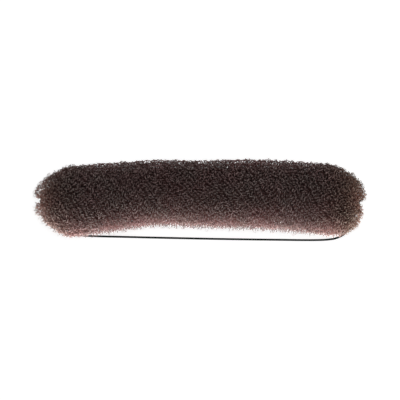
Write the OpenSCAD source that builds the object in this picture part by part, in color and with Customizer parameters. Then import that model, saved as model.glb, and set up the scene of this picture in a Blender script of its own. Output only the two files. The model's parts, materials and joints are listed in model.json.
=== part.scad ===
// Hair bun roll: a soft sausage of crimped net with both ends tucked in,
// on a loop of round elastic that runs through its middle.
// Millimetres. The roll lies along X on the plane Z = 0, and the elastic lies
// on that plane along the -Y side, where it pulls the roll into a slight bend.

/* [Roll] */
// Length of the roll from tip to tip
roll_length = 231; // [225:1:237]
// Width of a plain section of the roll, which the sections below scale
roll_width = 47; // [44:0.5:49]
// Height of the top above the middle line, as a share of half the width
crown_share = 0.93; // [0.85:0.01:1]
// Depth by which the soft underside is pressed flat
foot_depth = 0.9; // [0.5:0.1:1.5]

/* [Tucked ends] */
// Depth of the upright cleft that parts each end into two lobes
cleft_depth = 3; // [0:0.5:5]
// Depth of the cleft on the underside, where the elastic lies in it
cleft_depth_below = 6.5; // [6.5:0.5:8]
// Depth of the rounded lip where the net turns in
lip_depth = 4; // [3:0.5:6]
// Share of the section that the lip takes up
lip_share = 0.2; // [0.15:0.01:0.25]
// Height of the slot that the net is tucked into
slot_height = 19; // [19:0.5:22]
// Length over which the slot closes down to the channel
slot_length = 14; // [12:1:20]

/* [Elastic] */
// Diameter of the elastic
cord_diameter = 1.5; // [1.2:0.1:1.6]
// Diameter of the channel that the net leaves round the elastic
channel_diameter = 3; // [2.8:0.1:3.4]
// Diameter of the knot that joins the elastic inside the roll
knot_diameter = 3.4; // [3:0.1:3.8]
// Length of the knot
knot_length = 5; // [5:0.5:7]
// Gap between the knot and the net round it
knot_gap = 0.6; // [0.4:0.1:0.8]

/* [Hidden] */

// Sections of the roll, spaced evenly from the left tip to the right one.
// Each number is a share of half the plain width.
BACK = 0;
FRONT = 1;
TOP = 2;
SECTIONS = [
    // back, front, top
    [1.02, 1.02, 1.03],
    [1.03, 1.02, 1.04],
    [1.00, 0.975, 0.99],
    [0.985, 0.935, 0.97],
    [0.90, 0.99, 0.93],
    [1.01, 0.995, 0.99],
    [0.99, 1.005, 1.00],
    [1.055, 1.04, 1.06],
    [1.045, 1.045, 1.05],
];

// The two ends of the roll: which side, the lengths over which the back and the front
// round off, the roundness (2 is an ellipse, less is more pointed), how far the front
// lobe stops short of the back one, and how far the tip turns towards the back.
SIDE = 0;
CAP_BACK = 1;
CAP_FRONT = 2;
ROUNDNESS = 3;
LEAN = 4;
TURN = 5;
LEFT_END = [-1, 24, 28, 1.4, 0, 3.6];
RIGHT_END = [1, 27.5, 21.5, 1.75, 2.5, 0];
turn_length = 20;

// The roll's middle line: its height above the table, and the bend that the
// elastic pulls it into, with the crest of the bend a little right of the middle
axis_height = 20.5;
bend_radius = 780;
bend_crest = [5.5, 3.1];

// Middle line of the elastic. Inside the roll it keeps to the roll's own middle line,
// with a point at each of these distances from the middle, first at the knot's ends.
CHANNEL_STOPS = [knot_length / 2, 14, 34, 56, 76, 91];
// Outside it goes down the right cleft, along the table in front of the roll and up
// the left cleft. These points are drawn for a roll of drawn_length.
drawn_length = 231;
FREE_ROUTE = [
    [97, -2.4, 20.5], [101.6, -2.9, 19.9], [106, -3.4, 17.9], [109.5, -3.8, 14.4],
    [111.1, -4.2, 9.9], [110.6, -5.4, 5.6], [109.4, -8.6, 2.6], [108, -13.4, 1.2],
    [106.2, -19, 0.9], [102.8, -25, 0.9], [97.6, -28.4, 0.9], [91, -30, 0.9],
    [78, -30.5, 0.9], [50, -30.2, 0.9], [15, -29.7, 0.9], [-15, -29.1, 0.9],
    [-50, -28.3, 0.9], [-80, -27.5, 0.9], [-92, -26.2, 0.9], [-99.6, -22.8, 0.9],
    [-104.8, -17, 1], [-108.2, -10.6, 2.2], [-110.6, -5.6, 5], [-111.4, -2.9, 9.6],
    [-109.8, -2.6, 14.4], [-106, -3, 17.9], [-101.5, -3.4, 19.9], [-97, -3.6, 20.5],
];

half_length = roll_length / 2;
half_width = roll_width / 2;
slot_half_height = slot_height / 2;
channel_radius = channel_diameter / 2;
pocket_radius = knot_diameter / 2 + knot_gap;
pocket_half_length = knot_length / 2 + 2;
cord_radius = cord_diameter / 2;

side_count = 36;
body_rings = 34;
cap_rings = 8;
lip_rings = 4;
slot_rings = 5;
channel_rings = 22;
cleft_sharpness = 4;
cord_sides = 8;
cord_steps = 2;

// The curve through b and c that also minds a and d, at share t from b to c
function smooth(a, b, c, d, t) =
    b + 0.5 * t * (c - a + t * (2 * a - 5 * b + 4 * c - d + t * (3 * (b - c) + d - a)));

// The value of one column of the sections at place x along the roll
function section_share(x, column) =
    let (
        last = len(SECTIONS) - 1,
        place = min(max((x / half_length + 1) / 2, 0), 1) * last,
        row = min(floor(place), last - 1)
    )
    smooth(
        SECTIONS[max(row - 1, 0)][column],
        SECTIONS[row][column],
        SECTIONS[row + 1][column],
        SECTIONS[min(row + 2, last)][column],
        place - row
    );

// 0 before `start`, 1 after `start + length`, and a smooth step between
function smooth_step(x, start, length) =
    let (t = min(max((x - start) / length, 0), 1)) t * t * (3 - 2 * t);

// The middle line's place across the table at place x along the roll
function axis_y(x) =
    bend_crest[1] - bend_radius + sqrt(pow(bend_radius, 2) - pow(x - bend_crest[0], 2))
    + LEFT_END[TURN] * smooth_step(-x, half_length - turn_length, turn_length)
    + RIGHT_END[TURN] * smooth_step(x, half_length - turn_length, turn_length);

// The roll's outline round its middle line, as [across, up], at place x and turn a
function outer_point(x, a) = [
    half_width * section_share(x, cos(a) > 0 ? BACK : FRONT) * cos(a),
    sin(a) > 0
        ? half_width * crown_share * section_share(x, TOP) * sin(a)
        : (axis_height + foot_depth) * sin(a),
];

// An oval hole's outline round the middle line
function hole_point(half_w, half_h, a) = [half_w * cos(a), half_h * sin(a)];

// A point of the roll from its place along X and its place round the middle line
function on_roll(x, offset) = [x, axis_y(x) + offset[0], axis_height + offset[1]];

// The length over which an end rounds off at turn a
function cap_length(end, a) =
    (end[CAP_BACK] + end[CAP_FRONT]) / 2 + (end[CAP_BACK] - end[CAP_FRONT]) / 2 * cos(a);

// The place along X where the rounding of an end starts at turn a
function cap_start(end, a) = end[SIDE] * (half_length - cap_length(end, a));

// How far an end stops short at turn a: in the cleft, above and below the slot, and at the front lobe
function end_trim(end, a) =
    (sin(a) > 0 ? cleft_depth : cleft_depth_below) * pow(sin(a), cleft_sharpness)
    + end[LEAN] * (1 - cos(a)) / 2;

function body_ring(share) = [
    for (k = [0:side_count - 1])
        let (
            a = 360 * k / side_count,
            x = cap_start(LEFT_END, a) * (1 - share) + cap_start(RIGHT_END, a) * share
        )
        on_roll(x, outer_point(x, a))
];

// A ring between the body's outline and the slot's, where share is 1 on the body and 0 in the slot.
// reach is how far it has come from the body to the tip, and back is how far it has turned in.
function end_ring(end, share, reach, back) = [
    for (k = [0:side_count - 1])
        let (
            a = 360 * k / side_count,
            length = cap_length(end, a),
            x = end[SIDE] * (half_length - length + (length - end_trim(end, a)) * reach - back),
            inner = hole_point(channel_radius, slot_half_height, a),
            outer = outer_point(cap_start(end, a), a)
        )
        on_roll(x, inner + share * (outer - inner))
];

// A ring of the rounded end. swing goes from 0 where the body stops to 90 on the crest of the lip.
function cap_ring(end, swing) =
    end_ring(
        end,
        lip_share + (1 - lip_share) * pow(cos(swing), 2 / end[ROUNDNESS]),
        pow(sin(swing), 2 / end[ROUNDNESS]),
        0
    );

// A ring of the lip. swing goes from 0 on its crest to 90 in the slot's mouth.
function lip_ring(end, swing) = end_ring(end, lip_share * (1 - sin(swing)), 1, lip_depth * (1 - cos(swing)));

// A ring of the slot. depth goes from 0 at its mouth to 1 at the channel.
function slot_ring(end, depth) =
    let (height = channel_radius + (slot_half_height - channel_radius) * sqrt(1 - pow(depth, 2)))
    [for (k = [0:side_count - 1])
        let (
            a = 360 * k / side_count,
            x = end[SIDE] * (half_length - lip_depth - slot_length * depth - end_trim(end, a) * (1 - depth))
        )
        on_roll(x, hole_point(channel_radius, height, a))];

// The channel widens smoothly into a pocket round the knot
function channel_radius_at(x) =
    abs(x) < pocket_half_length
        ? channel_radius + (pocket_radius - channel_radius) * min(1.6 * cos(90 * x / pocket_half_length), 1)
        : channel_radius;

function channel_ring(x) =
    [for (k = [0:side_count - 1])
        let (a = 360 * k / side_count)
        on_roll(x, hole_point(channel_radius_at(x), channel_radius_at(x), a))];

// Rings in order: along the body to the right tip, in through the channel, and out of the left tip
function roll_rings() =
    let (channel_start = half_length - lip_depth - slot_length)
    concat(
        [for (i = [0:body_rings]) body_ring(i / body_rings)],
        [for (i = [1:cap_rings]) cap_ring(RIGHT_END, 90 * i / cap_rings)],
        [for (i = [1:lip_rings]) lip_ring(RIGHT_END, 90 * i / lip_rings)],
        [for (i = [1:slot_rings]) slot_ring(RIGHT_END, sin(90 * i / slot_rings))],
        [for (i = [1:channel_rings - 1])
            let (turn = 1 - 2 * i / channel_rings)
            channel_ring(channel_start * sign(turn) * pow(abs(turn), 1.6))],
        [for (i = [slot_rings:-1:1]) slot_ring(LEFT_END, sin(90 * i / slot_rings))],
        [for (i = [lip_rings:-1:1]) lip_ring(LEFT_END, 90 * i / lip_rings)],
        [for (i = [cap_rings:-1:1]) cap_ring(LEFT_END, 90 * i / cap_rings)]
    );

// Triangles between rings of points, where ring number `rings` is ring 0 if the rings close up
function skin(rings, sides, count) = [
    for (i = [0:count - 1], k = [0:sides - 1])
        let (
            here = i * sides,
            next = (i + 1) % rings * sides,
            side = (k + 1) % sides
        )
        each [
            [here + k, next + k, next + side],
            [here + k, next + side, here + side],
        ]
];

module net_roll() {
    rings = roll_rings();
    color("#4a3733")
        difference() {
            polyhedron([for (ring = rings) each ring], skin(len(rings), side_count, len(rings)));
            translate([-roll_length, -roll_width, -2 * foot_depth])
                cube([2 * roll_length, 2 * roll_width, 2 * foot_depth]);
        }
}

// A point of the free route, moved along X with the end of the roll that it is near
function fitted(p) =
    p + [sign(p[0]) * (roll_length - drawn_length) / 2 * smooth_step(abs(p[0]), 50, 30), 0, 0];

function cord_route() =
    let (last = len(CHANNEL_STOPS) - 1)
    concat(
        [for (x = CHANNEL_STOPS) on_roll(x, [0, 0])],
        [for (p = FREE_ROUTE) fitted(p)],
        [for (i = [last:-1:0]) on_roll(-CHANNEL_STOPS[i], [0, 0])]
    );

// The route with `steps` points for each stretch between two of its points
function smooth_route(points, steps) = [
    for (i = [0:len(points) - 2], s = [0:steps - 1])
        smooth(
            points[max(i - 1, 0)], points[i], points[i + 1],
            points[min(i + 2, len(points) - 1)], s / steps
        ),
    points[len(points) - 1],
];

function unit(v) = v / norm(v);

// The direction of a line of points at its point i
function direction(line, i) = unit(line[min(i + 1, len(line) - 1)] - line[max(i - 1, 0)]);

// The part of v that is square to a line of points at its point i
function square_to(v, line, i) = let (along = direction(line, i)) unit(v - (v * along) * along);

// A side direction for each point, carried along the line without twisting
function carried_sides(line) = [
    for (
        i = 0, side = square_to([0, 1, 0], line, 0);
        i < len(line);
        i = i + 1, side = i < len(line) ? square_to(side, line, i) : side
    )
        side
];

module tube(line, radius, sides) {
    across = carried_sides(line);
    points = [
        for (i = [0:len(line) - 1], k = [0:sides - 1])
            let (up = cross(direction(line, i), across[i]), a = 360 * k / sides)
            line[i] + radius * (cos(a) * across[i] + sin(a) * up)
    ];
    last = (len(line) - 1) * sides;
    faces = concat(
        [[for (k = [0:sides - 1]) k]],
        skin(len(line), sides, len(line) - 1),
        [[for (k = [sides - 1:-1:0]) last + k]]
    );
    polyhedron(points, faces);
}

module elastic_cord() {
    color("#1c1e1e") tube(smooth_route(cord_route(), cord_steps), cord_radius, cord_sides);
}

// A barrel with flat ends, which the two ends of the elastic meet
module elastic_knot() {
    bulge_radius = 3 * knot_diameter;
    color("#1c1e1e")
        translate([-knot_length / 2, axis_y(0), axis_height])
            rotate([0, 90, 0])
                rotate_extrude($fn = 48)
                    intersection() {
                        square([knot_diameter / 2, knot_length]);
                        translate([knot_diameter / 2 - bulge_radius, knot_length / 2])
                            circle(bulge_radius, $fn = 96);
                    }
}

net_roll();
elastic_cord();
elastic_knot();
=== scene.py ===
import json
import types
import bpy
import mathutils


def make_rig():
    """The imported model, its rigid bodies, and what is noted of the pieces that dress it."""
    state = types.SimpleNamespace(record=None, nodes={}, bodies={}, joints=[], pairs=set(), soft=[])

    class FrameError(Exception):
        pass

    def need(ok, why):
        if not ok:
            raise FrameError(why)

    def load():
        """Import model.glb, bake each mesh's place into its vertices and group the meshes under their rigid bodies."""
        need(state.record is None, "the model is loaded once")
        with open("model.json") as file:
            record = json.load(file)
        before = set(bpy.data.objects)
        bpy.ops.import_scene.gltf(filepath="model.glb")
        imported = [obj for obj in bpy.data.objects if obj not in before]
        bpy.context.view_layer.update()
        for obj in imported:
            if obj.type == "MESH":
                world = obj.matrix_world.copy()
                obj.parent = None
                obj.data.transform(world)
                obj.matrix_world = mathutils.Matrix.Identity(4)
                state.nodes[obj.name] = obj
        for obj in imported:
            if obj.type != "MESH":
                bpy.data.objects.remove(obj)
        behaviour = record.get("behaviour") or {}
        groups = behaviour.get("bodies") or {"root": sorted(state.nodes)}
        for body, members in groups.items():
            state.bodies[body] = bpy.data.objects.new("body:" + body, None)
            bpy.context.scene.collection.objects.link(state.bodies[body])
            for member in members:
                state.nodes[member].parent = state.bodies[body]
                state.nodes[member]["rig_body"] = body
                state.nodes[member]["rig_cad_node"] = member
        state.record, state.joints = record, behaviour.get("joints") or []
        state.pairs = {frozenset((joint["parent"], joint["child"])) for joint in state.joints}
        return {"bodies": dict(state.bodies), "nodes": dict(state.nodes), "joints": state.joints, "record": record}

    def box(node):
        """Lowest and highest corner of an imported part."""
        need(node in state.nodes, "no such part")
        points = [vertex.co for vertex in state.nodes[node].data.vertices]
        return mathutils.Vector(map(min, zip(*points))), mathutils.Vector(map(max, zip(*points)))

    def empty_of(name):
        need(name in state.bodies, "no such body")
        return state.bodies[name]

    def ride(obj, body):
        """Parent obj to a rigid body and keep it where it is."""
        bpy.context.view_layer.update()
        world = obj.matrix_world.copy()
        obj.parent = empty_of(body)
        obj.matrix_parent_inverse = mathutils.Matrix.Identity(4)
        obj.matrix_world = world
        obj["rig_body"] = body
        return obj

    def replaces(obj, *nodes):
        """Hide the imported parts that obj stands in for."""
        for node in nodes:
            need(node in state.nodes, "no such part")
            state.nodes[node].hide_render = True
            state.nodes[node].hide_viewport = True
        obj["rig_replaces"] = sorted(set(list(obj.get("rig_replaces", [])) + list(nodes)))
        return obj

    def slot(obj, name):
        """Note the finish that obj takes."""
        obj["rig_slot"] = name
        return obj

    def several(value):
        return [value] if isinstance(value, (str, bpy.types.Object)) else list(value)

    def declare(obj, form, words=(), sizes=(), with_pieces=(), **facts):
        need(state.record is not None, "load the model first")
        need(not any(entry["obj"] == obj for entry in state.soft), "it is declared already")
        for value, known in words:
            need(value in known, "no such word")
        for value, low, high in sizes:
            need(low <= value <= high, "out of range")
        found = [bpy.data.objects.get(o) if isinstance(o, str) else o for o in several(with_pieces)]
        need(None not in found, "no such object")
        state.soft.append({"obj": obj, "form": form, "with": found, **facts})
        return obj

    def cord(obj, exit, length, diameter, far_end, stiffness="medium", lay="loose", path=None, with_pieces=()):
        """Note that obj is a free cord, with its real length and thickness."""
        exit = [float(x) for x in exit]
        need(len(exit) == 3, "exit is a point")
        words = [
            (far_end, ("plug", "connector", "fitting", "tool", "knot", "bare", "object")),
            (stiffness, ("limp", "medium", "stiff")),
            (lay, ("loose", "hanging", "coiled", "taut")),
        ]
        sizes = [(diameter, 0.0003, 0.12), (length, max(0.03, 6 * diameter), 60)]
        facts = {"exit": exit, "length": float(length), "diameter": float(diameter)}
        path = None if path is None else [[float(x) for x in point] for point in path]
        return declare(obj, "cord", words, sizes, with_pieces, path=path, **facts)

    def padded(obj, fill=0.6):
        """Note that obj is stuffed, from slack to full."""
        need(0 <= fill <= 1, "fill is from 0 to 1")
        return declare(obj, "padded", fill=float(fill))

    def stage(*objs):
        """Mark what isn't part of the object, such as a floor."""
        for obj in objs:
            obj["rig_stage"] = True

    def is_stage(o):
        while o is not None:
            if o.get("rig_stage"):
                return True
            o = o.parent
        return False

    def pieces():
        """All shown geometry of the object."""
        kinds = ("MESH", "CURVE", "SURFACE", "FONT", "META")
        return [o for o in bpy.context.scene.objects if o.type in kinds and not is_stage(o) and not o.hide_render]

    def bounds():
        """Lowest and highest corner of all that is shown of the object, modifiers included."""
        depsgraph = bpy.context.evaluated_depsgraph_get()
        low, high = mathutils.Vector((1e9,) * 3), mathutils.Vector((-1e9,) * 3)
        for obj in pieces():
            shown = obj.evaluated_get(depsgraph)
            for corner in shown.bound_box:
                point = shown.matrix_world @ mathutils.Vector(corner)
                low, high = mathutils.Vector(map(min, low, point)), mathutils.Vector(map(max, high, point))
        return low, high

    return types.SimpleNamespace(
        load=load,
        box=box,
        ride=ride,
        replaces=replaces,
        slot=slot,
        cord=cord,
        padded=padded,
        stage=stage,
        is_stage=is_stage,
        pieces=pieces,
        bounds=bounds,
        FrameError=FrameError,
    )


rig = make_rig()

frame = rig.load()

import json
import math

import bpy
import numpy as np

# Metres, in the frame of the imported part: the roll lies along X on the plane Z = 0.
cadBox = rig.bounds()
rollLow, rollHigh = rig.box("net_roll")
halfLength = (rollHigh.x - rollLow.x) / 2
print(f"frame loaded, the roll is {2 * halfLength:.4f} m long")

bakeMap = {"name": "OFBake", "margin": 0.05, "capRadius": 0.4}

# The roll's own form, as shares and sizes. Angles and turns round its middle line run from the back (+Y)
# over the top to the front (-Y) and back underneath.
rollForm = {
    "halfWidth": 0.0235,
    "crownShare": 0.93,
    "axisHeight": 0.0205,
    "footDepth": 0.0009,
    "bendRadius": 0.78,
    "bendCrest": (0.0055, 0.0031),
    "turnLength": 0.020,
    "cleftAbove": 0.003,
    "cleftBelow": 0.0065,
    "cleftSharpness": 4,
    "lipDepth": 0.004,
    "lipShare": 0.2,
    "slotHalfHeight": 0.0095,
    "slotLength": 0.014,
    "channelRadius": 0.0015,
    # shares of half the plain width, evenly spaced from the left tip to the right one
    "back": (1.06, 1.015, 0.99, 0.985, 0.93, 0.985, 1.005, 1.02, 1.10),
    "front": (1.02, 1.02, 0.975, 0.905, 0.975, 0.995, 1.005, 1.04, 1.045),
    "top": (1.03, 1.04, 0.99, 0.97, 0.93, 0.99, 1.00, 1.06, 1.05),
}
# Each end's cap, and how the net's layers, tints and painted light change towards it
leftEnd = {
    "side": -1, "capBack": 0.024, "capFront": 0.028, "roundness": 1.4, "lean": 0.0012, "turn": 0.0036,
    "softness": 0.0018, "frontHold": 0.4, "warmth": 0.6, "paintedLightFade": 0.35,
    "swell": 0.0011, "swellPlace": 0.082,
}
rightEnd = {
    "side": 1, "capBack": 0.0275, "capFront": 0.0215, "roundness": 1.75, "lean": 0.0025, "turn": 0,
    "softness": 0.0010, "frontHold": 1.4, "warmth": 1.0, "paintedLightFade": 0.75,
    "swell": 0.0016, "swellPlace": 0.087,
}
bothEnds = (leftEnd, rightEnd)


def smoothStep(x, start, length):
    # 0 before start, 1 after start + length, and t squared times (3 - 2 t) between
    t = np.clip((x - start) / length, 0, 1)
    return t * t * (3 - 2 * t)


def throughPoints(values, place):
    # The Catmull-Rom curve through the values, read at each place, which counts them from 0
    values = np.asarray(values, float)
    last = len(values) - 1
    row = np.clip(np.floor(place).astype(int), 0, last - 1)
    t = place - row
    if values.ndim > 1:
        t = t[..., None]
    a, b = values[np.maximum(row - 1, 0)], values[row]
    c, d = values[row + 1], values[np.minimum(row + 2, last)]
    return b + 0.5 * t * (c - a + t * (2 * a - 5 * b + 4 * c - d + t * (3 * (b - c) + d - a)))


def middleY(x):
    # The middle line's place across the table: a wide arc, and a smooth turn at each tip
    crestX, crestY = rollForm["bendCrest"]
    radius, turnLength = rollForm["bendRadius"], rollForm["turnLength"]
    arc = crestY - radius + np.sqrt(radius ** 2 - (x - crestX) ** 2)
    for end in bothEnds:
        arc = arc + end["turn"] * smoothStep(end["side"] * x, halfLength - turnLength, turnLength)
    return arc


def onRoll(x, across, up):
    # Points from their place along X and their place round the middle line
    x = np.broadcast_to(x, across.shape)
    return np.stack([x, middleY(x) + across, rollForm["axisHeight"] + up], axis=-1)


def unit(v):
    # Each vector over its own length
    return v / np.maximum(np.linalg.norm(v, axis=-1, keepdims=True), 1e-12)


def running(steps):
    # The running sum of the steps, from 0
    return np.concatenate([[0], np.cumsum(steps)])


def bell(x, centre, spread):
    # 1 at the centre and less on both sides: e to the power -(distance / spread) squared
    return np.exp(-((x - centre) / spread) ** 2)


def bellRound(turn, centre, spread):
    # The same bell curve round the roll, where a distance is half a turn at most
    return bell(np.mod(turn - centre + 0.5, 1), 0.5, spread)


def waveNoise(points, size, seed, count=12):
    # Smooth noise with a spread of about 1: the sum of sine waves in random directions, each about size long
    random = np.random.default_rng(seed)
    waves = unit(random.normal(size=(count, 3))) * 2 * math.pi / size
    waves *= random.uniform(0.7, 1.4, (count, 1))
    shifts = random.uniform(0, 2 * math.pi, count)
    return np.sin(points @ waves.T + shifts).sum(axis=-1) * math.sqrt(2 / count)


# Camera, straight above the roll as in the photograph, with a long lens
cameraView = {"centreY": -0.00226, "frameWidth": 0.278, "distance": 1.6, "sensor": 36}


def makeCamera():
    data = bpy.data.cameras.new("camera")
    data.sensor_width = cameraView["sensor"]
    data.lens = cameraView["sensor"] * cameraView["distance"] / cameraView["frameWidth"]
    camera = bpy.data.objects.new("camera", data)
    camera.location = (0, cameraView["centreY"], rollForm["axisHeight"] + cameraView["distance"])
    bpy.context.scene.collection.objects.link(camera)
    bpy.context.scene.camera = camera


makeCamera()
print("camera placed")


def makeMesh(name, points, quads, caps=None, bakePlaces=None):
    # A smooth mesh object from arrays of points, four-sided faces and caps with more or fewer sides
    caps = np.zeros((0, 3), int) if caps is None else caps
    corners = np.concatenate([quads.ravel(), caps.ravel()])
    starts = np.concatenate([4 * np.arange(len(quads)), quads.size + caps.shape[1] * np.arange(len(caps))])
    mesh = bpy.data.meshes.new(name)
    mesh.vertices.add(len(points))
    mesh.vertices.foreach_set("co", points.astype(np.float32).ravel())
    mesh.loops.add(len(corners))
    mesh.loops.foreach_set("vertex_index", corners.astype(np.int32))
    mesh.polygons.add(len(starts))
    mesh.polygons.foreach_set("loop_start", starts.astype(np.int32))
    mesh.polygons.foreach_set("use_smooth", np.ones(len(starts), bool))
    if bakePlaces is not None:
        layer = mesh.uv_layers.new(name=bakeMap["name"])
        layer.data.foreach_set("uv", bakePlaces.astype(np.float32).ravel())
    mesh.update(calc_edges=True)
    thing = bpy.data.objects.new(name, mesh)
    bpy.context.scene.collection.objects.link(thing)
    return thing


def bakeCells(count, sides, capCount, capSides):
    # A place on the bake map for each face of a tube: every stretch has a cell of its own in a square
    # table of cells, cut into a strip for each side. The caps share the last row, a small ring for each.
    margin, capRadius = bakeMap["margin"], bakeMap["capRadius"]
    perRow = math.ceil(math.sqrt(count)) + 1
    stretch, side = np.divmod(np.arange(count * sides), sides)
    row, column = np.divmod(stretch, perRow)
    left, right = (column + margin) / perRow, (column + 1 - margin) / perRow
    low, high = (row + (side + margin) / sides) / perRow, (row + (side + 1 - margin) / sides) / perRow
    quadPlaces = np.stack([left, low, right, low, right, high, left, high], axis=-1).reshape(-1, 2)
    turn = 2 * math.pi * np.arange(capSides) / capSides
    capX = (np.arange(capCount)[:, None] % perRow + 0.5 + capRadius * np.cos(turn)) / perRow
    capY = 1 + (-0.5 + capRadius * np.sin(turn) + 0 * capX) / perRow
    return np.concatenate([quadPlaces, np.stack([capX, capY], axis=-1).reshape(-1, 2)])


def ringQuads(rings, sides, closed):
    # Four-sided faces between each ring of corners and the next, and from the last one to the first where
    # the rings close. Corner k of ring i has the number i times sides + k.
    here = np.arange(rings if closed else rings - 1)[:, None]
    after = (here + 1) % rings
    k = np.arange(sides)[None, :]
    nextK = (k + 1) % sides
    corners = [here * sides + k, after * sides + k, after * sides + nextK, here * sides + nextK]
    return np.stack(corners, axis=-1).reshape(-1, 4)


def makeTubes(name, lines, sides):
    # One mesh of round tubes. Each line holds its points, two directions square to it, the radius at each
    # point and round each ring, and whether it closes. A ring's corner k is the point
    # + radius (cos side + sin up) at k turns / sides.
    turn = 2 * math.pi * np.arange(sides) / sides
    points, quads, caps, first = [], [], [], 0
    for line in lines:
        rings = len(line["points"])
        spokes = line["side"][:, None] * np.cos(turn)[:, None] + line["up"][:, None] * np.sin(turn)[:, None]
        radius = np.broadcast_to(line["radius"], (rings, sides))
        points.append((line["points"][:, None] + radius[..., None] * spokes).reshape(-1, 3))
        quads.append(first + ringQuads(rings, sides, line["closed"]))
        if not line["closed"]:
            caps.append(first + np.arange(sides))
            caps.append(first + (rings - 1) * sides + np.arange(sides)[::-1])
        first += rings * sides
    quads = np.concatenate(quads)
    caps = np.array(caps, int).reshape(-1, sides)
    places = bakeCells(len(quads) // sides, sides, len(caps), sides)
    return makeMesh(name, np.concatenate(points), quads, caps, places)


# The elastic: its route repeats the source's, in metres
elasticForm = {
    "diameter": 0.0015,
    "length": 0.4875,
    "channelStops": (0.0025, 0.014, 0.034, 0.056, 0.076, 0.091),
    "freePoints": (
        (0.097, -0.0024, 0.0205), (0.1016, -0.0029, 0.0199), (0.106, -0.0034, 0.0179),
        (0.1095, -0.0038, 0.0144), (0.1111, -0.0042, 0.0099), (0.1106, -0.0054, 0.0056),
        (0.1094, -0.0086, 0.0026), (0.108, -0.0134, 0.0012), (0.1062, -0.019, 0.0009),
        (0.1028, -0.025, 0.0009), (0.0976, -0.0284, 0.0009), (0.091, -0.03, 0.0009),
        (0.078, -0.0305, 0.0009), (0.05, -0.0302, 0.0009), (0.015, -0.0297, 0.0009),
        (-0.015, -0.0291, 0.0009), (-0.05, -0.0283, 0.0009), (-0.08, -0.0275, 0.0009),
        (-0.092, -0.0262, 0.0009), (-0.0996, -0.0228, 0.0009), (-0.1048, -0.017, 0.001),
        (-0.1082, -0.0106, 0.0022), (-0.1106, -0.0056, 0.005), (-0.1114, -0.0029, 0.0096),
        (-0.1098, -0.0026, 0.0144), (-0.106, -0.003, 0.0179), (-0.1015, -0.0034, 0.0199),
        (-0.097, -0.0036, 0.0205),
    ),
    "pointsPerStop": 40,
    "ringPitch": 0.00026,
    "neverTaken": (0, 1, -1),
    "sides": 16,
    "strandsEachWay": 4,
    "braidPitch": 0.0052,
    "braidRelief": 0.07,
    "braidSink": 0.3,
}


def elasticLine():
    # The route's points: out along the channel, round the free points and in along the channel again,
    # with a smooth curve through them, read at even steps of its length
    stops = np.array(elasticForm["channelStops"])
    channel = onRoll(stops, 0 * stops, 0 * stops)
    back = onRoll(-stops[::-1], 0 * stops, 0 * stops)
    route = np.concatenate([channel, elasticForm["freePoints"], back])
    fine = throughPoints(route, np.linspace(0, len(route) - 1, elasticForm["pointsPerStop"] * len(route)))
    along = running(np.linalg.norm(np.diff(fine, axis=0), axis=1))
    even = np.linspace(0, along[-1], round(along[-1] / elasticForm["ringPitch"]))
    return np.stack([np.interp(even, along, fine[:, axis]) for axis in range(3)], axis=-1), even


def squareTo(line):
    # Two directions square to the line at each point: its cross product with a direction that it never
    # takes, and its cross product with that
    along = unit(np.gradient(line, axis=0))
    side = unit(np.cross(along, elasticForm["neverTaken"]))
    return side, np.cross(along, side)


def makeElastic():
    # Braid: the surface stands proud where the two families of strands cross, as sin a times sin b, where
    # a and b wind opposite ways round the cord
    line, along = elasticLine()
    side, up = squareTo(line)
    turn = 2 * math.pi * np.arange(elasticForm["sides"])[None, :] / elasticForm["sides"]
    wind = 2 * math.pi * along[:, None] * elasticForm["strandsEachWay"] / elasticForm["braidPitch"]
    around = elasticForm["strandsEachWay"] * turn
    braid = np.sin(around + wind) * np.sin(around - wind) - elasticForm["braidSink"]
    radius = elasticForm["diameter"] / 2 * (1 + elasticForm["braidRelief"] * braid)
    cord = makeTubes("elastic_braid", [{
        "points": line, "side": side, "up": up, "radius": radius, "closed": False,
    }], elasticForm["sides"])
    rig.ride(cord, "root")
    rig.replaces(cord, "elastic_cord")
    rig.slot(cord, "elastic")
    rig.cord(
        cord, exit=line[0], length=elasticForm["length"], diameter=elasticForm["diameter"],
        far_end="knot", stiffness="limp", lay="loose", path=line[::12],
        with_pieces=[frame["nodes"]["elastic_knot"]],
    )
    return cord


elastic = makeElastic()
print(f"elastic made, {len(elastic.data.polygons)} faces")
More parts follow.
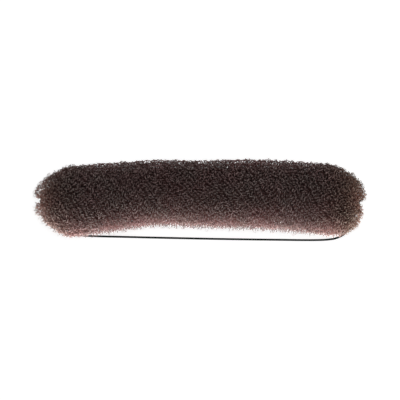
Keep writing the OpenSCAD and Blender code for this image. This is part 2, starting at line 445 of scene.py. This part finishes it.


# The net: layers of crimped threads, each layer laid another way, round a bundled core coloured near black as painted
# shade
netForm = {
    "sides": 3,
    "gridRows": 900,
    "gridColumns": 240,
    "slotRows": 5,
    "slotCut": 2,
    # paths: how finely they are read, and how they thin out near the ends
    "pathSteps": 2400,
    "ringSteps": 500,
    "underStep": 1.8,
    "underSlope": (0.2, 0.5),
    "countMultiple": 8,
    "lastLevel": 5,
    "crowding": 0.8,
    "fullShare": 0.3,
    # crimps, and the noise that changes them, as a share and the size of its waves
    "crimpLength": 0.0020,
    "crimpWidth": 0.00088,
    "crimpHeight": 0.0007,
    "widthChange": (0.2, 0.005),
    "heightChange": (0.2, 0.0045),
    "radiusChange": (0.15, 0.004),
    "straySize": 0.009,
    "strayShift": 1.1,
    "strayLift": 0.9,
    "phaseScatter": 0.35,
    "driftWidth": 0.00035,
    "driftSize": 0.006,
    "bumpHeight": 0.0006,
    "bumpSize": 0.0029,
    "bumpSeed": 41,
    "tuckLength": 0.002,
    "tuckDepth": 0.0015,
    "lowestRadii": 1.3,
    # painted highlights on the crests and painted shade in the hollows, from each crimp's lift
    "crestGain": 0.58,
    "crestPower": 3.0,
    # the front edge, the back edge and the ends
    "frontTurn": 0.56,
    "frontSpread": 0.13,
    "frontLoops": 0.8,
    "frontStretch": 0.2,
    "drawSpread": 0.18,
    "backSpread": 0.07,
    "backLoops": -0.3,
    "backCalm": 0.4,
    "holdStart": 0.0675,
    "holdLength": 0.022,
    "swellLength": 0.009,
    # painted light where light comes through the thin bundle, and tints: warm at the tips and painted shade at the
    # back edge
    "paintedLightPeak": 0.535,
    "paintedLightTurn": 0.495,
    "paintedLightSpread": 0.215,
    "paintedLightSpreadBelow": 0.055,
    "paintedLightBandPeak": 0.28,
    "paintedLightBandTurn": 0.44,
    "paintedLightBandSpread": 0.05,
    "paintedLightFadeStart": 0.085,
    "paintedLightFadeLength": 0.022,
    "paintedLightBack": 0.15,
    "paintedLightBackSpread": 0.08,
    "paintedLightEnds": 0.55,
    "paintedLightEndLength": 0.025,
    "warmLength": 0.04,
    "paintedBackShadeSpread": 0.12,
}
netLayers = (
    {
        "name": "net_slanted_right", "lay": "slanted", "turns": 2.4, "spacing": 0.0022, "look": "outer",
        "inset": 0.0009, "frontInset": 0.0001, "backInset": 0.0004, "swell": 1, "tip": 0.8, "seed": 11,
        "radius": 0.00026, "step": 0.00042, "rise": 1.2, "stretch": 1.0, "frontThin": 0.3,
    },
    {
        "name": "net_slanted_left", "lay": "slanted", "turns": -1.3, "spacing": 0.0022, "look": "outer",
        "inset": 0.0021, "frontInset": 0.0011, "backInset": 0.0034, "swell": 1, "tip": 1.6, "seed": 12,
        "radius": 0.00026, "step": 0.00042, "rise": 1.2, "stretch": 1.0, "frontThin": 0.3,
    },
    {
        "name": "net_rings", "lay": "rings", "spacing": 0.0024, "look": "inner",
        "inset": 0.0036, "frontInset": 0.0023, "backInset": 0.0060, "swell": 1, "tip": 2.2, "seed": 13,
        "radius": 0.00024, "step": 0.00055, "rise": 1.0, "stretch": 1.0, "frontThin": 0.3,
    },
    {
        "name": "net_lengthwise", "lay": "slanted", "turns": 0, "spacing": 0.0024, "look": "inner",
        "inset": 0.0048, "frontInset": 0.0036, "backInset": 0.0080, "swell": 1, "tip": 2.4, "seed": 14,
        "radius": 0.00024, "step": 0.0006, "rise": 1.0, "stretch": 1.0, "frontThin": 0.3,
    },
    {
        "name": "net_strays", "lay": "slanted", "turns": 3.1, "spacing": 0.0026, "look": "stray",
        "inset": 0.0003, "frontInset": -0.0018, "backInset": 0.0020, "swell": 0, "tip": 0.2, "seed": 15,
        "radius": 0.00017, "step": 0.00055, "rise": 1.2, "stretch": 1.4, "frontThin": 0.4,
    },
)
coreForm = {
    "inset": 0.0056, "frontInset": 0.0052, "backInset": 0.0056, "swell": 1, "tip": 1.8,
    "rows": 330, "columns": 156, "channelRows": 40, "lowest": 0.0006,
    # creases: their height, the rows they fade in over, and their waves by share, size and seed
    "creases": 0.0004, "creaseFade": 20, "creaseWaves": ((0.6, 0.007, 31), (0.4, 0.003, 32)),
}


def backShare(x, turn, spread):
    # A bell curve at the back edge, fading away towards the ends
    ends = smoothStep(np.abs(x), netForm["holdStart"], netForm["holdLength"])
    return bellRound(turn, 0, spread) * (1 - ends)


def drawnIn(layer, x, turn):
    # A layer's depth under the roll's outer surface: one value all round, another at the back edge and
    # a third at the front edge, which gives way towards the ends and swells out a little before each
    start, length = netForm["holdStart"], netForm["holdLength"]
    hold, swell = 0, 0
    for end in bothEnds:
        hold = hold + end["frontHold"] * smoothStep(end["side"] * x, start, length)
        swell = swell + end["swell"] * bell(end["side"] * x, end["swellPlace"], netForm["swellLength"])
    change = (layer["frontInset"] - layer["inset"]) * (1 - hold) - layer["swell"] * swell
    front = change * bellRound(turn, netForm["frontTurn"], netForm["drawSpread"])
    back = (layer["backInset"] - layer["inset"]) * backShare(x, turn, netForm["backSpread"])
    return layer["inset"] + front + back


def sectionShare(x, column):
    # One of the form's rows of shares, as a smooth curve read at its place along the roll
    last = len(rollForm[column]) - 1
    return throughPoints(rollForm[column], np.clip((x / halfLength + 1) / 2, 0, 1) * last)


def outline(x, angle, inset):
    # The section's outline round the middle line: half an ellipse behind, one in front, each with its
    # own share of the half width, a crown above and a pressed foot below, all drawn in by the inset
    width = np.where(np.cos(angle) > 0, sectionShare(x, "back"), sectionShare(x, "front"))
    across = (rollForm["halfWidth"] * width - inset) * np.cos(angle)
    crown = rollForm["halfWidth"] * rollForm["crownShare"] * sectionShare(x, "top") - inset
    foot = rollForm["axisHeight"] + rollForm["footDepth"] - inset
    return across, np.where(np.sin(angle) > 0, crown, foot) * np.sin(angle)


def capLength(end, angle):
    # The cap's length: its two values mixed by the angle's cosine
    mean, half = (end["capBack"] + end["capFront"]) / 2, (end["capBack"] - end["capFront"]) / 2
    return mean + half * np.cos(angle)


def endTrim(end, angle):
    # How far the tip stops short: most above and below, in the cleft, and a little at the front lobe
    cleft = np.where(np.sin(angle) > 0, rollForm["cleftAbove"], rollForm["cleftBelow"])
    return cleft * np.sin(angle) ** rollForm["cleftSharpness"] + end["lean"] * (1 - np.cos(angle)) / 2


def endRows(end, angle, layer, capRows, lipRows, slotRows):
    # Rows of points from the body's last ring over the rounded cap and the lip into the slot. On the cap
    # the section shrinks as cos to the power 2 / n while the tip is reached as sin to the power 2 / n.
    # On the lip it turns in on a quarter circle, and the slot closes down to the channel.
    power = 2 / end["roundness"]
    lipShare, lipDepth = rollForm["lipShare"], rollForm["lipDepth"]
    swing = np.linspace(0, math.pi / 2, capRows)[1:, None]
    curl = np.linspace(0, math.pi / 2, lipRows)[1:, None]
    capShare = lipShare + (1 - lipShare) * np.cos(swing) ** power
    share = np.concatenate([capShare, lipShare * (1 - np.sin(curl))])
    reach = np.concatenate([np.sin(swing) ** power, np.ones_like(curl)])
    back = np.concatenate([0 * swing, lipDepth * (1 - np.cos(curl))])
    length, trim = capLength(end, angle), endTrim(end, angle) + layer["tip"] * end["softness"]
    start = end["side"] * (halfLength - length)
    inset = drawnIn(layer, start, angle / (2 * math.pi))
    across, up = outline(start, angle, inset)
    holeAcross = rollForm["channelRadius"] * np.cos(angle)
    holeUp = rollForm["slotHalfHeight"] * np.sin(angle)
    x = end["side"] * (halfLength - length + (length - trim - inset) * reach - back)
    rounded = onRoll(x, holeAcross + share * (across - holeAcross), holeUp + share * (up - holeUp))
    depth = np.sin(np.linspace(0, math.pi / 2, slotRows))[1:, None]
    closing = np.sqrt(np.maximum(1 - depth ** 2, 0))
    height = rollForm["channelRadius"] + (rollForm["slotHalfHeight"] - rollForm["channelRadius"]) * closing
    slotReach = halfLength - lipDepth - rollForm["slotLength"] * depth - (trim + inset) * (1 - depth)
    slotX = end["side"] * slotReach
    slot = onRoll(slotX, holeAcross + 0 * slotX, height * np.sin(angle))
    return np.concatenate([rounded, slot])


def rollSurface(columns, layer, bodyRows=160, capRows=40, lipRows=14, slotRows=12):
    # The roll's surface at a layer's depth, from the bottom of the left slot to that of the right one, as
    # rows of rings of points
    angle = np.arange(columns)[None, :] * 2 * math.pi / columns
    share = np.linspace(0, 1, bodyRows)[:, None]
    left = leftEnd["side"] * (halfLength - capLength(leftEnd, angle))
    right = rightEnd["side"] * (halfLength - capLength(rightEnd, angle))
    x = left * (1 - share) + right * share
    body = onRoll(x, *outline(x, angle, drawnIn(layer, x, angle / (2 * math.pi))))
    leftRows = endRows(leftEnd, angle, layer, capRows, lipRows, slotRows)[::-1]
    rightRows = endRows(rightEnd, angle, layer, capRows, lipRows, slotRows)
    return np.concatenate([leftRows, body, rightRows])


def evenRows(surface, count):
    # The same surface with its rows at even steps of the length along each column
    steps = np.linalg.norm(np.diff(surface, axis=0), axis=-1)
    along = np.concatenate([np.zeros((1, surface.shape[1])), np.cumsum(steps, axis=0)])
    share = np.linspace(0, 1, count)
    return np.stack([
        np.stack([np.interp(share * length[-1], length, column[:, axis]) for axis in range(3)], axis=-1)
        for length, column in zip(along.T, surface.swapaxes(0, 1))
    ], axis=1)


def surfaceNormals(surface):
    # The cross product of the way round and the way along, which points outwards
    around = np.roll(surface, -1, axis=1) - np.roll(surface, 1, axis=1)
    return unit(np.cross(around, np.gradient(surface, axis=0)))


def readGrid(grid, share, turn):
    # The grid's value at a share of its rows and at a turn round it, mixed from the four values round it
    rows, columns = grid.shape[:2]
    row = np.clip(share, 0, 1) * (rows - 1)
    column = np.mod(turn, 1) * columns
    r, c = np.minimum(np.floor(row).astype(int), rows - 2), np.floor(column).astype(int) % columns
    across, down = (column - np.floor(column))[..., None], (row - r)[..., None]
    after = (c + 1) % columns
    upper = grid[r, c] * (1 - across) + grid[r, after] * across
    lower = grid[r + 1, c] * (1 - across) + grid[r + 1, after] * across
    return upper * (1 - down) + lower * down


def paintedThroughLightShare(x, turn):
    # Painted light: how much light is painted as coming through the bundle behind a place, where it is thin: two bell
    # curves at the front edge that fade at its corners, a low one at the back edge, and a smooth rise to the tips
    fade = np.where(x < 0, leftEnd["paintedLightFade"], rightEnd["paintedLightFade"])
    fade = fade * smoothStep(np.abs(x), netForm["paintedLightFadeStart"], netForm["paintedLightFadeLength"])
    below = np.mod(turn, 1) > netForm["paintedLightTurn"]
    spread = np.where(below, netForm["paintedLightSpreadBelow"], netForm["paintedLightSpread"])
    front = netForm["paintedLightPeak"] * bellRound(turn, netForm["paintedLightTurn"], spread)
    front = front + netForm["paintedLightBandPeak"] * bellRound(turn, netForm["paintedLightBandTurn"], netForm["paintedLightBandSpread"])
    back = netForm["paintedLightBack"] * bellRound(turn, 0, netForm["paintedLightBackSpread"])
    length = netForm["paintedLightEndLength"]
    ends = netForm["paintedLightEnds"] * smoothStep(np.abs(x), halfLength - length, length)
    return np.maximum(front * (1 - fade), np.maximum(back, ends))


def warmShare(x):
    # The browner tint of the tips, stronger at the right one
    start, length = halfLength - netForm["warmLength"], netForm["warmLength"]
    return sum(end["warmth"] * smoothStep(end["side"] * x, start, length) for end in bothEnds)


def slantedPaths(surface, layer):
    # Paths that wind evenly round the roll from end to end. Where the section shrinks near an end and they
    # crowd, every other one stops, then every other one of those left, so that their spacing stays nearly
    # the same. A path's level is how often its number can be halved.
    turns, multiple = layer["turns"], netForm["countMultiple"]
    middle = surface[len(surface) // 2]
    girth = np.linalg.norm(np.roll(middle, -1, axis=0) - middle, axis=-1).sum()
    slant = math.atan(girth * turns / (2 * halfLength))
    count = round(girth * math.cos(slant) / layer["spacing"] / multiple) * multiple
    around = np.linalg.norm(np.roll(surface, -1, axis=1) - surface, axis=-1)[..., None]
    around = around * surface.shape[1] / count * math.cos(slant)
    share = np.linspace(0, 1, netForm["pathSteps"])
    nearEnd = np.abs(share - 0.5) > netForm["fullShare"]
    for index in range(count):
        turn = index / count + turns * (share - 0.5)
        level = (index & -index).bit_length() - 1 if index else netForm["lastLevel"]
        room = readGrid(around, share, turn)[:, 0] * 2 ** level
        crowded = np.flatnonzero(nearEnd & (room < netForm["crowding"] * layer["spacing"]))
        first = max([i for i in crowded if share[i] < 0.5], default=-1) + 1
        last = min([i for i in crowded if share[i] > 0.5], default=len(share))
        yield index, share[first:last], turn[first:last], False


def ringPaths(surface, layer):
    # Rings round the roll at even steps of its length, from slot to slot
    length = np.linalg.norm(np.diff(surface[:, 0], axis=0), axis=-1).sum()
    count = round(length / layer["spacing"])
    turn = np.linspace(0, 1, netForm["ringSteps"])
    for index in range(count):
        yield index, np.full_like(turn, (index + 0.5) / count), turn, True


def evenPath(surface, normals, layer, share, turn, closed):
    # The path read at even steps of its length, which are longer underneath: its points, the directions
    # outwards, its turns round the roll, the length so far and the whole length
    path = readGrid(surface, share, turn)
    pieces = np.linalg.norm(np.diff(path, axis=0), axis=1)
    along = running(pieces)
    under = smoothStep(-np.sin(2 * math.pi * turn[1:]), *netForm["underSlope"])
    paces = running(pieces / (1 + (netForm["underStep"] - 1) * under))
    even = np.interp(np.linspace(0, paces[-1], round(paces[-1] / layer["step"]) + 1), paces, along)
    even = even[:-1] if closed else even
    share, turn = np.interp(even, along, share), np.interp(even, along, turn)
    return readGrid(surface, share, turn), unit(readGrid(normals, share, turn)), turn, even, along[-1]


def headings(points, closed):
    # The direction at each point, from the one before it to the one after it
    if closed:
        return unit(np.roll(points, -1, axis=0) - np.roll(points, 1, axis=0))
    return unit(np.gradient(points, axis=0))


def varied(points, change, seed):
    # 1 plus or minus noise: change holds its share and the size of its waves
    return 1 + change[0] * waveNoise(points, change[1], seed)


def crimpedThread(surface, normals, layer, index, share, turn, closed):
    # A thread along a path on the surface. It swings from side to side as a sine of its length, out of
    # step with its neighbours, and in and out as another, and slow noise changes both. The open ends are
    # tucked in.
    seed = layer["seed"]
    random = np.random.default_rng(1000 * seed + index)
    path, outwards, turn, even, length = evenPath(surface, normals, layer, share, turn, closed)
    sideways = np.cross(outwards, headings(path, closed))
    front = bellRound(turn, netForm["frontTurn"], netForm["frontSpread"])
    back = backShare(path[:, 0], turn, netForm["backSpread"])
    crimpLength = netForm["crimpLength"] * layer["stretch"] * (1 + netForm["frontStretch"] * front)
    crimps = running(np.diff(even) * 2 / (crimpLength[1:] + crimpLength[:-1]))
    if closed:
        total = crimps[-1] + (length - even[-1]) / crimpLength[-1]
        crimps = crimps * round(total) / total
    stray = waveNoise(path, netForm["straySize"], seed)
    scatter = random.normal(0, netForm["phaseScatter"])
    phase = 2 * math.pi * crimps + math.pi * index + netForm["strayShift"] * stray + scatter
    lift = np.sin(phase + netForm["strayLift"] * stray + random.uniform(0, 2 * math.pi))
    width = netForm["crimpWidth"] * varied(path, netForm["widthChange"], seed + 50)
    rise = layer["rise"] * varied(path, netForm["heightChange"], seed + 60)
    height = netForm["crimpHeight"] * rise
    height = height * (1 + netForm["frontLoops"] * front + netForm["backLoops"] * back)
    drift = netForm["driftWidth"] * waveNoise(path, netForm["driftSize"], seed + 70)
    bumpHeight = netForm["bumpHeight"] * (1 - netForm["backCalm"] * back)
    bumps = bumpHeight * waveNoise(path, netForm["bumpSize"], netForm["bumpSeed"])
    points = path + sideways * (width * np.sin(phase) + drift)[:, None]
    points += outwards * (height * lift + bumps)[:, None]
    if not closed:
        tuckLength = netForm["tuckLength"]
        fade = smoothStep(even, 0, tuckLength) * smoothStep(length - even, 0, tuckLength)
        points -= outwards * (netForm["tuckDepth"] * (1 - fade))[:, None]
    points[:, 2] = np.maximum(points[:, 2], netForm["lowestRadii"] * layer["radius"])
    heading = headings(points, closed)
    side = unit(np.cross(outwards, heading))
    radius = layer["radius"] * varied(points, netForm["radiusChange"], seed + 80)
    radius = radius * (1 - layer["frontThin"] * front)
    return {
        "points": points, "side": side, "up": np.cross(heading, side),
        "radius": radius[:, None], "closed": closed,
        # painted highlight where the crimp swings out, painted shade where it swings in
        "crest": np.clip(0.5 + netForm["crestGain"] * rise * lift, 0, 1) ** netForm["crestPower"],
        # painted light coming through the thin bundle
        "thin": paintedThroughLightShare(points[:, 0], turn), "warm": warmShare(points[:, 0]),
        # darker and redder at the back edge: painted shade
        "paintedBackShade": backShare(points[:, 0], turn, netForm["paintedBackShadeSpread"]),
    }


def setShare(thing, name, values):
    attribute = thing.data.attributes.new(name, "FLOAT", "POINT")
    attribute.data.foreach_set("value", values.astype(np.float32))


def makeNetLayer(layer):
    # A thread along each path on the roll's surface at the layer's depth, and four shares that the
    # material reads, each thread point's value given to its whole ring
    cut = netForm["slotCut"]
    surface = rollSurface(netForm["gridColumns"], layer, slotRows=netForm["slotRows"])
    surface = evenRows(surface[cut:-cut], netForm["gridRows"])
    normals = surfaceNormals(surface)
    paths = ringPaths if layer["lay"] == "rings" else slantedPaths
    threads = [crimpedThread(surface, normals, layer, *path) for path in paths(surface, layer)]
    net = makeTubes(layer["name"], threads, netForm["sides"])
    for share in ("crest", "thin", "warm", "paintedBackShade"):
        values = np.concatenate([thread[share] for thread in threads])
        setShare(net, share, np.repeat(values, netForm["sides"]))
    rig.ride(net, "root")
    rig.slot(net, "net")
    print(f"{layer['name']}: {len(threads)} threads, {2 * len(net.data.polygons)} triangles at most")
    return net


def makeNetCore():
    # The bundled net inside: the roll's surface drawn in, more at the front, with creases from noise,
    # closed through the channel
    columns = coreForm["columns"]
    turn = np.arange(columns)[None, :] / columns
    surface = evenRows(rollSurface(columns, coreForm), coreForm["rows"])
    normals, flat = surfaceNormals(surface), surface.reshape(-1, 3)
    creases = sum(share * waveNoise(flat, size, seed) for share, size, seed in coreForm["creaseWaves"])
    row = np.arange(len(surface))
    fade = np.minimum(np.minimum(row, row[::-1])[:, None] / coreForm["creaseFade"], 1)
    creases = creases.reshape(surface.shape[:2]) * fade * coreForm["creases"]
    surface = surface + normals * creases[..., None]
    channelX = np.linspace(surface[-1, 0, 0], surface[0, 0, 0], coreForm["channelRows"])[1:-1, None]
    across = rollForm["channelRadius"] * np.cos(2 * math.pi * turn) + 0 * channelX
    up = rollForm["channelRadius"] * np.sin(2 * math.pi * turn) + 0 * channelX
    rings = np.concatenate([surface, onRoll(channelX, across, up)])
    rings[..., 2] = np.maximum(rings[..., 2], coreForm["lowest"])
    rows = len(rings)
    row, column = np.divmod(np.arange(rows * columns), columns)
    places = np.stack([row, column, row + 1, column, row + 1, column + 1, row, column + 1], axis=-1)
    places = places / np.tile((rows, columns), 4)
    core = makeMesh("net_core", rings.reshape(-1, 3), ringQuads(rows, columns, True), bakePlaces=places)
    # painted light coming through the thin bundle, on the core as well
    setShare(core, "thin", paintedThroughLightShare(rings[..., 0], turn + 0 * rings[..., 0]).ravel())
    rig.ride(core, "root")
    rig.replaces(core, "net_roll")
    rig.slot(core, "net")
    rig.padded(core, fill=0.7)
    print(f"net_core: {2 * len(core.data.polygons)} triangles")
    return core


core = makeNetCore()
nets = [makeNetLayer(layer) for layer in netLayers]


# Materials: what all threads share, with each noise as its scale and detail, and what differs by layer, the inner
# layers darker as painted shade
threadFinish = {
    # share of the tone that is painted crest highlight and shade rather than grain
    "crestShare": 0.45,
    "grain": (900, 4),
    "hue": (60, 1),
    "hueStops": (0.3, 0.7),
    "redder": (1.08, 0.96, 0.95),
    "greener": (0.95, 1.02, 0.97),
    "warm": (1.07, 1.04, 0.84),
    # darker and redder at the back edge: painted shade
    "paintedBackShade": (0.98, 0.84, 0.83),
    "gloss": (1400, 2),
    "relief": (5200, 2),
    "reliefStrength": 0.5,
    "reliefDepth": 0.00004,
    "specular": 0.04,
}
# Each look's second pair of colours is a lit, pinker copy of its dark and light colours: painted light coming through
# the thin bundle
threadLooks = {
    "outer": {
        "name": "crimped nylon thread", "stops": (0.34, 0.82), "roughness": (0.35, 0.5),
        "dark": (0.0585, 0.027, 0.026), "light": (0.405, 0.324, 0.321),
        "paintedLitDark": (0.285, 0.149, 0.140), "paintedLitLight": (0.40, 0.267, 0.252),
    },
    # darker than the outer look: painted shade of the layers deep in the bundle
    "inner": {
        "name": "crimped nylon thread inside", "stops": (0.30, 0.75), "roughness": (0.4, 0.55),
        "dark": (0.015, 0.0055, 0.005), "light": (0.050, 0.021, 0.019),
        "paintedLitDark": (0.14, 0.058, 0.053), "paintedLitLight": (0.32, 0.164, 0.151),
    },
    "stray": {
        "name": "stray nylon thread", "stops": (0.36, 0.80), "roughness": (0.35, 0.5),
        "dark": (0.033, 0.0165, 0.016), "light": (0.22, 0.148, 0.146),
        "paintedLitDark": (0.18, 0.125, 0.12), "paintedLitLight": (0.32, 0.25, 0.243),
    },
}
# near black core colours: painted shade of the net deep in the bundle
paintedShadeCoreLook = {
    "dark": (0.005, 0.0019, 0.0017), "light": (0.035, 0.0145, 0.013),
    "paintedLitDark": (0.07, 0.028, 0.025), "paintedLitLight": (0.2, 0.09, 0.082),
    "cells": 560, "stops": (0.84, 1), "roughness": 0.8, "specular": 0.2,
    "reliefStrength": 0.8, "reliefDepth": 0.0004,
}
elasticLook = {
    "dark": (0.008, 0.0095, 0.0095), "light": (0.034, 0.039, 0.038), "stops": (0.35, 0.65),
    "weave": (2600, 2), "roughness": (0.45, 0.7), "sheen": 0.03, "specular": 0.06,
    "reliefStrength": 0.6, "reliefDepth": 0.00005,
}


def newMaterial(name):
    material = bpy.data.materials.new(name)
    material.use_nodes = True
    nodes = material.node_tree.nodes
    nodes.clear()
    surface = nodes.new("ShaderNodeBsdfPrincipled")
    output = nodes.new("ShaderNodeOutputMaterial")
    material.node_tree.links.new(surface.outputs["BSDF"], output.inputs["Surface"])
    return material, nodes, material.node_tree.links, surface


def objectPlace(nodes):
    return nodes.new("ShaderNodeTexCoord").outputs["Object"]


def noise(nodes, links, place, scale, detail):
    texture = nodes.new("ShaderNodeTexNoise")
    texture.inputs["Scale"].default_value = scale
    texture.inputs["Detail"].default_value = detail
    links.new(place, texture.inputs["Vector"])
    return texture.outputs["Fac"]


def ramp(nodes, links, value, stops):
    node = nodes.new("ShaderNodeValToRGB")
    elements = node.color_ramp.elements
    for element, (position, colour) in zip(elements, stops):
        element.position, element.color = position, (*colour, 1)
    links.new(value, node.inputs["Fac"])
    return node.outputs["Color"]


def addRelief(nodes, links, surface, height, look):
    bump = nodes.new("ShaderNodeBump")
    bump.inputs["Strength"].default_value = look["reliefStrength"]
    bump.inputs["Distance"].default_value = look["reliefDepth"]
    links.new(height, bump.inputs["Height"])
    links.new(bump.outputs["Normal"], surface.inputs["Normal"])


def mapRange(nodes, links, value, low, high):
    node = nodes.new("ShaderNodeMapRange")
    node.inputs["To Min"].default_value = low
    node.inputs["To Max"].default_value = high
    links.new(value, node.inputs["Value"])
    return node.outputs["Result"]


def mixed(nodes, links, way, factor, first, second):
    node = nodes.new("ShaderNodeMix")
    node.data_type, node.blend_type = "RGBA", way
    if isinstance(factor, (int, float)):
        node.inputs["Factor"].default_value = factor
    else:
        links.new(factor, node.inputs["Factor"])
    for value, socket in ((first, node.inputs["A"]), (second, node.inputs["B"])):
        if isinstance(value, tuple):
            socket.default_value = (*value, 1)
        else:
            links.new(value, socket)
    return node.outputs["Result"]


def shareOf(nodes, name):
    node = nodes.new("ShaderNodeAttribute")
    node.attribute_name = name
    return node.outputs["Fac"]


def withPaintedThroughLight(nodes, links, value, look):
    # Dark to light by the value, in the bundle's colours and, by the share of painted light, in lit and pinker copies
    # of them: painted light coming through the thin edges
    low, high = look["stops"]
    thick = ramp(nodes, links, value, ((low, look["dark"]), (high, look["light"])))
    thin = ramp(nodes, links, value, ((low, look["paintedLitDark"]), (high, look["paintedLitLight"])))
    return mixed(nodes, links, "MIX", shareOf(nodes, "thin"), thick, thin)


def threadMaterial(look):
    # Painted shade in the hollows and painted highlights on the crests, mixed with fine grain, with slow changes of
    # hue, the warm tint of the tips and the painted shade of the back edge
    material, nodes, links, surface = newMaterial(look["name"])
    place = objectPlace(nodes)
    height = nodes.new("ShaderNodeMix")
    height.inputs["Factor"].default_value = threadFinish["crestShare"]
    links.new(noise(nodes, links, place, *threadFinish["grain"]), height.inputs["A"])
    links.new(shareOf(nodes, "crest"), height.inputs["B"])
    tone = withPaintedThroughLight(nodes, links, height.outputs["Result"], look)
    patches = noise(nodes, links, place, *threadFinish["hue"])
    low, high = threadFinish["hueStops"]
    hue = ramp(nodes, links, patches, ((low, threadFinish["redder"]), (high, threadFinish["greener"])))
    coloured = mixed(nodes, links, "MULTIPLY", 1, tone, hue)
    for share in ("warm", "paintedBackShade"):
        coloured = mixed(nodes, links, "MULTIPLY", shareOf(nodes, share), coloured, threadFinish[share])
    links.new(coloured, surface.inputs["Base Color"])
    fine = noise(nodes, links, place, *threadFinish["gloss"])
    links.new(mapRange(nodes, links, fine, *look["roughness"]), surface.inputs["Roughness"])
    addRelief(nodes, links, surface, noise(nodes, links, place, *threadFinish["relief"]), threadFinish)
    surface.inputs["Specular IOR Level"].default_value = threadFinish["specular"]
    return material


def coreMaterial():
    # Net seen deep in the bundle, near black as painted shade: light along the edges of small cells, and painted shade
    # in their middles
    material, nodes, links, surface = newMaterial("bundled net")
    cells = nodes.new("ShaderNodeTexVoronoi")
    cells.feature = "DISTANCE_TO_EDGE"
    cells.inputs["Scale"].default_value = paintedShadeCoreLook["cells"]
    links.new(objectPlace(nodes), cells.inputs["Vector"])
    edges = nodes.new("ShaderNodeMath")
    edges.operation = "SUBTRACT"
    edges.inputs[0].default_value = 1
    links.new(cells.outputs["Distance"], edges.inputs[1])
    links.new(withPaintedThroughLight(nodes, links, edges.outputs[0], paintedShadeCoreLook), surface.inputs["Base Color"])
    surface.inputs["Roughness"].default_value = paintedShadeCoreLook["roughness"]
    surface.inputs["Specular IOR Level"].default_value = paintedShadeCoreLook["specular"]
    addRelief(nodes, links, surface, cells.outputs["Distance"], paintedShadeCoreLook)
    return material


def elasticMaterial():
    material, nodes, links, surface = newMaterial("braided elastic")
    weave = noise(nodes, links, objectPlace(nodes), *elasticLook["weave"])
    low, high = elasticLook["stops"]
    tone = ramp(nodes, links, weave, ((low, elasticLook["dark"]), (high, elasticLook["light"])))
    links.new(tone, surface.inputs["Base Color"])
    links.new(mapRange(nodes, links, weave, *elasticLook["roughness"]), surface.inputs["Roughness"])
    surface.inputs["Sheen Weight"].default_value = elasticLook["sheen"]
    surface.inputs["Specular IOR Level"].default_value = elasticLook["specular"]
    addRelief(nodes, links, surface, weave, elasticLook)
    return material


def giveMaterial(thing, material):
    thing.data.materials.clear()
    thing.data.materials.append(material)


finishes = {key: threadMaterial(look) for key, look in threadLooks.items()}
for net, layer in zip(nets, netLayers):
    giveMaterial(net, finishes[layer["look"]])
giveMaterial(core, coreMaterial())
elasticFinish = elasticMaterial()
giveMaterial(elastic, elasticFinish)
for materialSlot in frame["nodes"]["elastic_knot"].material_slots:
    materialSlot.material = elasticFinish
print("materials given")

# Floor and lights: a glowing white table, dim light from above and a low glow from the front
studio = {
    "floorHalf": 3.0,
    "floorGlow": 0.83,
    "floorGrain": (6, 2),
    "floorTones": ((0.3, (0.36, 0.36, 0.36)), (0.7, (0.4, 0.4, 0.4))),
    "floorRoughness": 0.9,
    "world": 0.45,
    "top": {"place": (0.06, 0.10, 0.9), "width": 0.16, "radiance": 20.0},
    "glow": {"low": -0.60, "high": -0.033, "halfWidth": 0.55, "height": 0.0004, "radiance": 10.5},
}


def makeFloor():
    half = studio["floorHalf"]
    corners = np.array([(-half, -half, 0), (half, -half, 0), (half, half, 0), (-half, half, 0)])
    floor = makeMesh("table", corners, np.array([[0, 1, 2, 3]]))
    material, nodes, links, surface = newMaterial("white table")
    grain = noise(nodes, links, objectPlace(nodes), *studio["floorGrain"])
    links.new(ramp(nodes, links, grain, studio["floorTones"]), surface.inputs["Base Color"])
    surface.inputs["Roughness"].default_value = studio["floorRoughness"]
    surface.inputs["Emission Color"].default_value = (1, 1, 1, 1)
    surface.inputs["Emission Strength"].default_value = studio["floorGlow"]
    giveMaterial(floor, material)
    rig.stage(floor)


def areaLight(name, place, width, depth, radiance, facing):
    # A flat light that the camera doesn't see. Its power is pi times its radiance times its area.
    data = bpy.data.lights.new(name, "AREA")
    data.shape = "RECTANGLE"
    data.size, data.size_y = width, depth
    data.energy = radiance * math.pi * width * depth
    light = bpy.data.objects.new(name, data)
    light.location = place
    light.rotation_euler = facing
    light.visible_camera = False
    bpy.context.scene.collection.objects.link(light)


def makeLights():
    world = bpy.data.worlds.new("studio")
    bpy.context.scene.world = world
    world.use_nodes = True
    background = world.node_tree.nodes["Background"]
    background.inputs["Color"].default_value = (1, 1, 1, 1)
    background.inputs["Strength"].default_value = studio["world"]
    top, glow = studio["top"], studio["glow"]
    areaLight("top", top["place"], top["width"], top["width"], top["radiance"], (0, 0, 0))
    depth, width = glow["high"] - glow["low"], 2 * glow["halfWidth"]
    place = (0, (glow["low"] + glow["high"]) / 2, glow["height"])
    areaLight("front glow", place, width, depth, glow["radiance"], (math.pi, 0, 0))


makeFloor()
makeLights()
bpy.context.scene.view_settings.view_transform = "Standard"
print("floor and lights placed")

with open("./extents.json", "w") as sizeFile:
    json.dump({"cad": [list(c) for c in cadBox], "visual": [list(c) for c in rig.bounds()]}, sizeFile)
